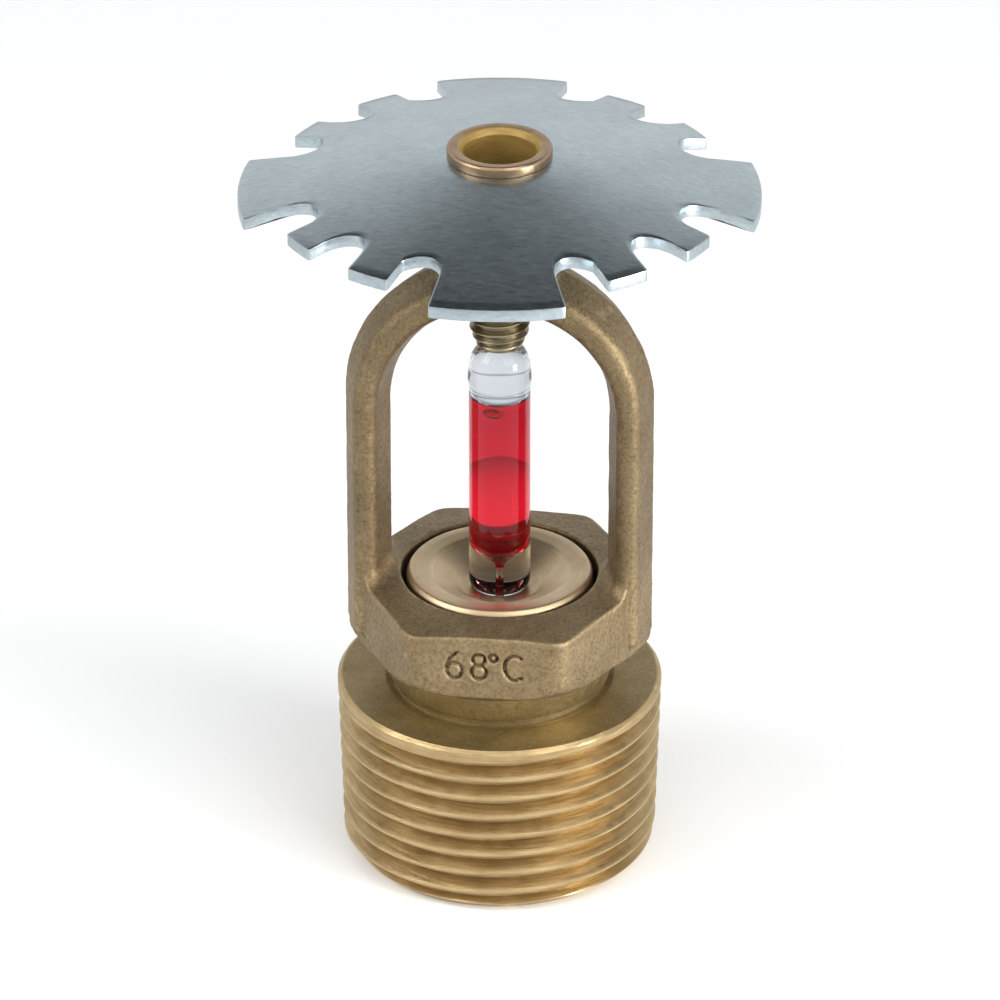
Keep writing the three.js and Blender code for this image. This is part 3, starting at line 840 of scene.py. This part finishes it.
class Shader:
    """A node material being built. Positions are in the object's own space, in metres."""

    def __init__(self, name):
        self.material = bpy.data.materials.new(name)
        self.material.use_nodes = True
        self.nodes = self.material.node_tree.nodes
        self.links = self.material.node_tree.links
        self.surface = self.nodes["Principled BSDF"]
        self.place = self.nodes.new("ShaderNodeTexCoord").outputs["Object"]

    def node(self, kind, **sockets):
        node = self.nodes.new(kind)
        for name, value in sockets.items():
            node.inputs[name.replace("_", " ")].default_value = value
        return node

    def link(self, output, node, socket):
        self.links.new(output, node.inputs[socket])

    def height(self, low_mm, high_mm):
        """0 at and below the low height, 1 at and above the high one."""
        axes = self.node("ShaderNodeSeparateXYZ")
        self.link(self.place, axes, "Vector")
        level = self.node("ShaderNodeMapRange", From_Min=low_mm * MM, From_Max=high_mm * MM)
        self.link(axes.outputs["Z"], level, "Value")
        return level.outputs["Result"]

    def noise(self, size_mm, detail=3.0, roughness=0.55, stretch=None):
        """Noise whose features are about size_mm across, optionally drawn out along an axis."""
        texture = self.node(
            "ShaderNodeTexNoise", Scale=1 / (size_mm * MM), Detail=detail, Roughness=roughness
        )
        place = self.place
        if stretch:
            mapping = self.node("ShaderNodeMapping", Scale=stretch)
            self.link(place, mapping, "Vector")
            place = mapping.outputs["Vector"]
        self.link(place, texture, "Vector")
        return texture.outputs["Fac"]

    def ramp(self, value, stops):
        """A colour ramp from (position, colour) stops; a plain number is a grey."""
        ramp = self.nodes.new("ShaderNodeValToRGB")
        elements = ramp.color_ramp.elements
        while len(elements) < len(stops):
            elements.new(0.5)
        for element, (position, colour) in zip(elements, stops):
            element.position = position
            shade = colour if isinstance(colour, tuple) else (colour,) * 3
            element.color = (*shade, 1)
        self.links.new(value, ramp.inputs["Fac"])
        return ramp.outputs["Color"]

    def mix(self, share, first, second, mode="MIX"):
        """Two colours mixed. share is a socket or a number; so is each colour."""
        mix = self.nodes.new("ShaderNodeMix")
        mix.data_type = "RGBA"
        mix.blend_type = mode
        for index, value in ((0, share), (6, first), (7, second)):
            if isinstance(value, bpy.types.NodeSocket):
                self.links.new(value, mix.inputs[index])
            elif index == 0:
                mix.inputs[index].default_value = value
            else:
                mix.inputs[index].default_value = (*value, 1)
        return mix.outputs[2]

    def add(self, first, second, weight):
        """first + weight * second, for bump heights."""
        node = self.nodes.new("ShaderNodeMath")
        node.operation = "MULTIPLY_ADD"
        self.links.new(second, node.inputs[0])
        node.inputs[1].default_value = weight
        self.links.new(first, node.inputs[2])
        return node.outputs[0]

    def bump(self, height, depth_mm, strength=1.0):
        bump = self.node("ShaderNodeBump", Strength=strength, Distance=depth_mm * MM)
        self.link(height, bump, "Height")
        self.link(bump.outputs["Normal"], self.surface, "Normal")

    def pointiness(self):
        return self.nodes.new("ShaderNodeNewGeometry").outputs["Pointiness"]


ARM_DARKENING_TOP_Z = 30.0
CAST_DARK = (0.205, 0.149, 0.080)
CAST_PALE = (0.267, 0.200, 0.115)


def cast_brass():
    """Sand-cast brass, dull brown-olive, brighter along its edges (partly wear, partly a painted
    highlight), with painted shade in its hollows, and darker up its arms.
    """
    s = Shader("cast_brass")
    colour = s.ramp(s.noise(3.5, 4), [(0.3, CAST_DARK), (0.7, CAST_PALE)])
    grain = s.noise(0.28, 5, 0.7)
    speckle = s.ramp(grain, [(0.3, (0.52, 0.48, 0.42)), (0.5, 1.0), (0.72, (1.4, 1.34, 1.2))])
    colour = s.mix(1.0, colour, speckle, "MULTIPLY")
    # Partly wear and partly a painted highlight: convex edges are mixed towards a brighter gold.
    edge_wear_and_highlight = s.ramp(s.pointiness(), [(0.505, 0.0), (0.58, 0.45)])
    colour = s.mix(edge_wear_and_highlight, colour, (0.42, 0.31, 0.17))
    # Painted shade: concave hollows and creases are mixed towards a dark brown, standing in for shadow.
    hollow = s.ramp(s.pointiness(), [(0.42, 0.7), (0.49, 0.0)])
    colour = s.mix(hollow, colour, (0.09, 0.062, 0.03))
    # Darker up the arms: the colour is scaled from 1 at the hexagon's top down to 0.78 at this height and
    # above.
    upward_darkening = s.ramp(s.height(HEX_TOP, ARM_DARKENING_TOP_Z), [(0.0, 1.0), (1.0, 0.78)])
    colour = s.mix(1.0, colour, upward_darkening, "MULTIPLY")
    s.links.new(colour, s.surface.inputs["Base Color"])
    s.surface.inputs["Metallic"].default_value = 0.9
    rough = s.ramp(s.noise(0.5, 3), [(0.3, 0.44), (0.7, 0.60)])
    s.links.new(rough, s.surface.inputs["Roughness"])
    s.bump(s.add(s.noise(0.22, 4, 0.65), s.noise(0.9, 3), 0.8), 0.06, 0.8)
    return s.material


def thread_brass():
    """Turned brass of the thread: golden, with fine tool marks, a painted highlight on the crests and
    painted shade in the roots.
    """
    s = Shader("thread_brass")
    marks = s.noise(0.5, 4, 0.6, stretch=(0.12, 0.12, 4.0))
    colour = s.ramp(s.noise(3.0, 4), [(0.3, (0.385, 0.272, 0.131)), (0.7, (0.52, 0.385, 0.20))])
    tint = s.ramp(marks, [(0.3, (0.72, 0.70, 0.66)), (0.6, 1.0)])
    colour = s.mix(1.0, colour, tint, "MULTIPLY")
    # Painted highlight: the convex thread crests are mixed towards a bright gold.
    crest = s.ramp(s.pointiness(), [(0.51, 0.0), (0.60, 0.55)])
    colour = s.mix(crest, colour, (0.62, 0.47, 0.27))
    # Painted shade: the thread roots are mixed towards a dark brown, standing in for shadow.
    painted_root_shade = s.ramp(s.pointiness(), [(0.40, 0.9), (0.495, 0.0)])
    colour = s.mix(painted_root_shade, colour, (0.13, 0.083, 0.032))
    s.links.new(colour, s.surface.inputs["Base Color"])
    s.surface.inputs["Metallic"].default_value = 1.0
    rough = s.ramp(s.noise(0.8, 3), [(0.3, 0.32), (0.7, 0.46)])
    s.links.new(rough, s.surface.inputs["Roughness"])
    s.bump(s.add(marks, s.noise(0.25, 3), 0.9), 0.035, 0.6)
    return s.material


def neck_brass():
    """The neck and the face above the thread: dull olive, finely pitted."""
    s = Shader("neck_brass")
    colour = s.ramp(s.noise(2.5, 4), [(0.3, (0.31, 0.235, 0.115)), (0.7, (0.41, 0.32, 0.165))])
    speckle = s.ramp(s.noise(0.25, 5, 0.7), [(0.3, (0.68, 0.66, 0.6)), (0.6, 1.0)])
    colour = s.mix(1.0, colour, speckle, "MULTIPLY")
    s.links.new(colour, s.surface.inputs["Base Color"])
    s.surface.inputs["Metallic"].default_value = 0.95
    rough = s.ramp(s.noise(0.5, 3), [(0.3, 0.42), (0.7, 0.55)])
    s.links.new(rough, s.surface.inputs["Roughness"])
    s.bump(s.noise(0.22, 4, 0.65), 0.03, 0.6)
    return s.material


def rolled_steel():
    """The deflector's zinc-plated sheet: blue-grey, with a fine rolled grain."""
    s = Shader("rolled_steel")
    grain = s.noise(0.3, 5, 0.75, stretch=(0.3, 1.0, 1.0))
    colour = s.ramp(s.noise(6.0, 4), [(0.3, (0.37, 0.425, 0.455)), (0.7, (0.43, 0.495, 0.525))])
    tint = s.ramp(grain, [(0.35, 0.80), (0.65, 1.08)])
    colour = s.mix(1.0, colour, tint, "MULTIPLY")
    s.links.new(colour, s.surface.inputs["Base Color"])
    s.surface.inputs["Metallic"].default_value = 1.0
    rough = s.ramp(grain, [(0.3, 0.27), (0.7, 0.33)])
    s.links.new(rough, s.surface.inputs["Roughness"])
    s.bump(grain, 0.03, 0.28)
    return s.material


def polished_bronze():
    """The bushing: polished, golden brown, with faint turning lines."""
    s = Shader("polished_bronze")
    lines = s.noise(0.3, 3, 0.6, stretch=(0.2, 0.2, 3.0))
    colour = s.ramp(lines, [(0.3, (0.255, 0.175, 0.105)), (0.7, (0.365, 0.255, 0.155))])
    s.links.new(colour, s.surface.inputs["Base Color"])
    s.surface.inputs["Metallic"].default_value = 1.0
    rough = s.ramp(s.noise(0.6, 3), [(0.3, 0.25), (0.7, 0.36)])
    s.links.new(rough, s.surface.inputs["Roughness"])
    s.bump(lines, 0.012, 0.4)
    return s.material


def bore_bronze():
    """The bushing's bore: bright unpolished bronze."""
    s = Shader("bore_bronze")
    lines = s.noise(0.3, 3, 0.6, stretch=(0.2, 0.2, 3.0))
    colour = s.ramp(lines, [(0.3, (0.25, 0.150, 0.032)), (0.7, (0.36, 0.235, 0.066))])
    s.links.new(colour, s.surface.inputs["Base Color"])
    s.surface.inputs["Metallic"].default_value = 0.35
    s.surface.inputs["Roughness"].default_value = 0.45
    s.bump(lines, 0.012, 0.4)
    return s.material


def satin_bronze():
    """The button: satin, pale beige, with concentric lathe marks."""
    s = Shader("satin_bronze")
    radial = s.nodes.new("ShaderNodeVectorMath")
    radial.operation = "LENGTH"
    flat = s.node("ShaderNodeMapping", Scale=(1, 1, 0))
    s.link(s.place, flat, "Vector")
    s.links.new(flat.outputs["Vector"], radial.inputs[0])
    rings = s.node("ShaderNodeTexNoise", Scale=1 / (0.16 * MM), Detail=3.0)
    rings.noise_dimensions = "1D"
    s.links.new(radial.outputs["Value"], rings.inputs["W"])
    colour = s.ramp(s.noise(2.6, 4), [(0.3, (0.51, 0.385, 0.235)), (0.7, (0.61, 0.465, 0.30))])
    tint = s.ramp(rings.outputs["Fac"], [(0.3, 0.9), (0.7, 1.0)])
    colour = s.mix(1.0, colour, tint, "MULTIPLY")
    s.links.new(colour, s.surface.inputs["Base Color"])
    s.surface.inputs["Metallic"].default_value = 1.0
    rough = s.ramp(s.noise(0.7, 3), [(0.3, 0.36), (0.7, 0.46)])
    s.links.new(rough, s.surface.inputs["Roughness"])
    s.bump(rings.outputs["Fac"], 0.012, 0.35)
    return s.material


def screw_brass():
    """The compression screw: olive brass, with painted shade in its thread roots."""
    s = Shader("screw_brass")
    colour = s.ramp(s.noise(0.8, 4), [(0.3, (0.235, 0.20, 0.135)), (0.7, (0.33, 0.285, 0.195))])
    # Painted shade: the thread roots are mixed towards near black, standing in for shadow.
    painted_root_shade = s.ramp(s.pointiness(), [(0.40, 1.0), (0.50, 0.0)])
    colour = s.mix(painted_root_shade, colour, (0.06, 0.05, 0.03))
    s.links.new(colour, s.surface.inputs["Base Color"])
    s.surface.inputs["Metallic"].default_value = 1.0
    rough = s.ramp(s.noise(0.3, 3), [(0.3, 0.28), (0.7, 0.42)])
    s.links.new(rough, s.surface.inputs["Roughness"])
    s.bump(s.noise(0.15, 3), 0.01, 0.4)
    return s.material


def clear_glass(name, base, head, reflection):
    """Faintly blue glass, shading from the bulb's base to its head with a little unevenness.

    reflection is how much of its straight-on reflection it keeps.
    """
    s = Shader(name)
    height = s.height(BULB_BASE_Z, BULB_HEAD_Z)
    tint = s.ramp(height, [(0.12, base), (0.35, (0.95, 0.94, 0.95)), (0.76, head)])
    uneven = s.ramp(s.noise(4.0, 2), [(0.3, 0.95), (0.7, 1.0)])
    s.links.new(s.mix(1.0, tint, uneven, "MULTIPLY"), s.surface.inputs["Base Color"])
    s.surface.inputs["Roughness"].default_value = 0.0
    s.surface.inputs["IOR"].default_value = 1.5
    s.surface.inputs["Specular Tint"].default_value = (reflection, reflection, reflection, 1)
    s.surface.inputs["Transmission Weight"].default_value = 1.0
    return s.material


def red_liquid():
    """The bulb's red liquid, which wets the glass and so hardly reflects."""
    s = Shader("red_liquid")
    tint = s.ramp(s.noise(3.0, 2), [(0.3, (0.76, 0.006, 0.024)), (0.7, (0.83, 0.009, 0.032))])
    s.links.new(tint, s.surface.inputs["Base Color"])
    s.surface.inputs["Roughness"].default_value = 0.0
    s.surface.inputs["IOR"].default_value = 1.42
    s.surface.inputs["Specular Tint"].default_value = (0.1, 0.02, 0.02, 1)
    s.surface.inputs["Transmission Weight"].default_value = 1.0
    return s.material


def spring_nickel():
    """The seal's spring washer: bright nickel with fine grinding marks."""
    s = Shader("spring_nickel")
    marks = s.noise(0.3, 4, 0.6, stretch=(0.2, 1.0, 1.0))
    colour = s.ramp(marks, [(0.3, (0.42, 0.40, 0.36)), (0.7, (0.56, 0.54, 0.50))])
    s.links.new(colour, s.surface.inputs["Base Color"])
    s.surface.inputs["Metallic"].default_value = 1.0
    s.surface.inputs["Roughness"].default_value = 0.25
    s.bump(marks, 0.01, 0.4)
    return s.material


def seal_tape():
    """White PTFE film, slightly mottled."""
    s = Shader("seal_tape")
    mottle = s.noise(0.7, 4)
    colour = s.ramp(mottle, [(0.3, (0.78, 0.78, 0.75)), (0.7, (0.88, 0.88, 0.86))])
    s.links.new(colour, s.surface.inputs["Base Color"])
    s.surface.inputs["Roughness"].default_value = 0.5
    s.surface.inputs["Subsurface Weight"].default_value = 0.1
    s.bump(mottle, 0.02, 0.4)
    return s.material


# ---- Studio -------------------------------------------------------------------------------------

def studio_floor():
    """A pale floor: a wide disc that the object stands on."""
    s = Shader("pale_floor")
    tone = s.ramp(s.noise(60.0, 2), [(0.3, 0.97), (0.7, 0.98)])
    s.links.new(tone, s.surface.inputs["Base Color"])
    s.surface.inputs["Roughness"].default_value = 0.8
    s.surface.inputs["Specular IOR Level"].default_value = 0.1
    points = [(0, 0, -0.02)]
    sides = 64
    reach = 2500
    points += [
        (reach * math.cos(2 * math.pi * i / sides), reach * math.sin(2 * math.pi * i / sides), -0.02)
        for i in range(sides)
    ]
    faces = [(0, i + 1, (i + 1) % sides + 1) for i in range(sides)]
    mesh = bpy.data.meshes.new("floor")
    mesh.from_pydata((np.array(points) * MM).tolist(), [], faces)
    mesh.materials.append(s.material)
    floor = bpy.data.objects.new("floor", mesh)
    bpy.context.scene.collection.objects.link(floor)


def softbox(name, azimuth, elevation, distance, size, power):
    """A rectangular area light aimed at the object. Azimuth 0 is in front, 90 to the right."""
    light = bpy.data.lights.new(name, "AREA")
    light.shape = "RECTANGLE"
    light.size, light.size_y = size
    light.energy = power
    lamp = bpy.data.objects.new(name, light)
    a, e = math.radians(azimuth), math.radians(elevation)
    out = Vector((math.sin(a) * math.cos(e), -math.cos(a) * math.cos(e), math.sin(e)))
    target = Vector((0, 0, 0.03))
    lamp.location = target + out * distance
    lamp.rotation_euler = (-out).to_track_quat("-Z", "Y").to_euler()
    bpy.context.scene.collection.objects.link(lamp)


def studio_world():
    """White walls up to about 30 degrees above the horizon, then fading to a black ceiling.

    The ramp's positions are the sine of the elevation.
    """
    world = bpy.data.worlds.new("studio")
    world.use_nodes = True
    nodes, links = world.node_tree.nodes, world.node_tree.links
    place = nodes.new("ShaderNodeTexCoord")
    axes = nodes.new("ShaderNodeSeparateXYZ")
    ramp = nodes.new("ShaderNodeValToRGB")
    stops = [(0.0, 1.04), (0.42, 1.14), (0.53, 1.05), (0.64, 0.58), (0.71, 0.24), (0.75, 0.0), (1.0, 0.0)]
    while len(ramp.color_ramp.elements) < len(stops):
        ramp.color_ramp.elements.new(0.5)
    for element, (position, level) in zip(ramp.color_ramp.elements, stops):
        element.position = position
        element.color = (level * 0.97, level * 0.99, level, 1)
    links.new(place.outputs["Generated"], axes.inputs[0])
    links.new(axes.outputs["Z"], ramp.inputs["Fac"])
    links.new(ramp.outputs["Color"], nodes["Background"].inputs["Color"])
    nodes["Background"].inputs["Strength"].default_value = 1.0
    bpy.context.scene.world = world


def camera():
    """The photograph's view: 28.8 degrees down, 6 degrees round to the right, long lens."""
    data = bpy.data.cameras.new("camera")
    data.sensor_width = 36
    data.lens = 268.97
    data.clip_start, data.clip_end = 0.01, 10
    view = bpy.data.objects.new("camera", data)
    pitch, turn, distance = math.radians(28.79), math.radians(6.0), 0.612
    back = Vector((
        math.sin(turn) * math.cos(pitch),
        -math.cos(turn) * math.cos(pitch),
        math.sin(pitch),
    ))
    aim = Vector((0.00003, 0, 0.03203))
    view.location = aim + back * distance
    view.rotation_euler = (-back).to_track_quat("-Z", "Y").to_euler()
    bpy.context.scene.collection.objects.link(view)
    bpy.context.scene.camera = view


def assemble():
    """Every piece, each with its material, from the casting inwards."""
    casting(cast_brass())
    threaded_inlet(thread_brass(), neck_brass())
    deflector(rolled_steel())
    bushing(polished_bronze(), bore_bronze())
    compression_screw(screw_brass())
    bulb_glass(
        clear_glass("glass_outside", (0.98, 0.97, 0.95), (0.63, 0.66, 0.70), 0.55),
        clear_glass("glass_inside", (0.97, 0.98, 0.99), (0.96, 0.98, 0.99), 0.1),
    )
    bulb_liquid(red_liquid())
    button(satin_bronze())
    lower_tape = SEAT_Z + GAP
    spring = lower_tape + TAPE_THICKNESS + GAP
    upper_tape = spring + SPRING_THICKNESS + GAP
    tape = seal_tape()
    cone_ring("spring_disc", spring, SPRING_THICKNESS, spring_nickel(),
              "spring_washer", 0.12)
    cone_ring("seal_film_upper", upper_tape, TAPE_THICKNESS, tape,
              "seal_tape_upper", 0.05)
    cone_ring("seal_film_lower", lower_tape, TAPE_THICKNESS, tape,
              "seal_tape_lower", 0.05)


assemble()
studio_floor()
studio_world()
softbox("key", 52, 40, 0.5, (0.34, 0.40), 1.0)
softbox("fill", -62, 36, 0.55, (0.30, 0.34), 1.45)
softbox("front", 6, 62, 0.55, (0.50, 0.40), 1.05)
softbox("side", 66, 6, 0.45, (0.14, 0.16), 1.9)
camera()
bpy.context.scene.view_settings.view_transform = "Standard"
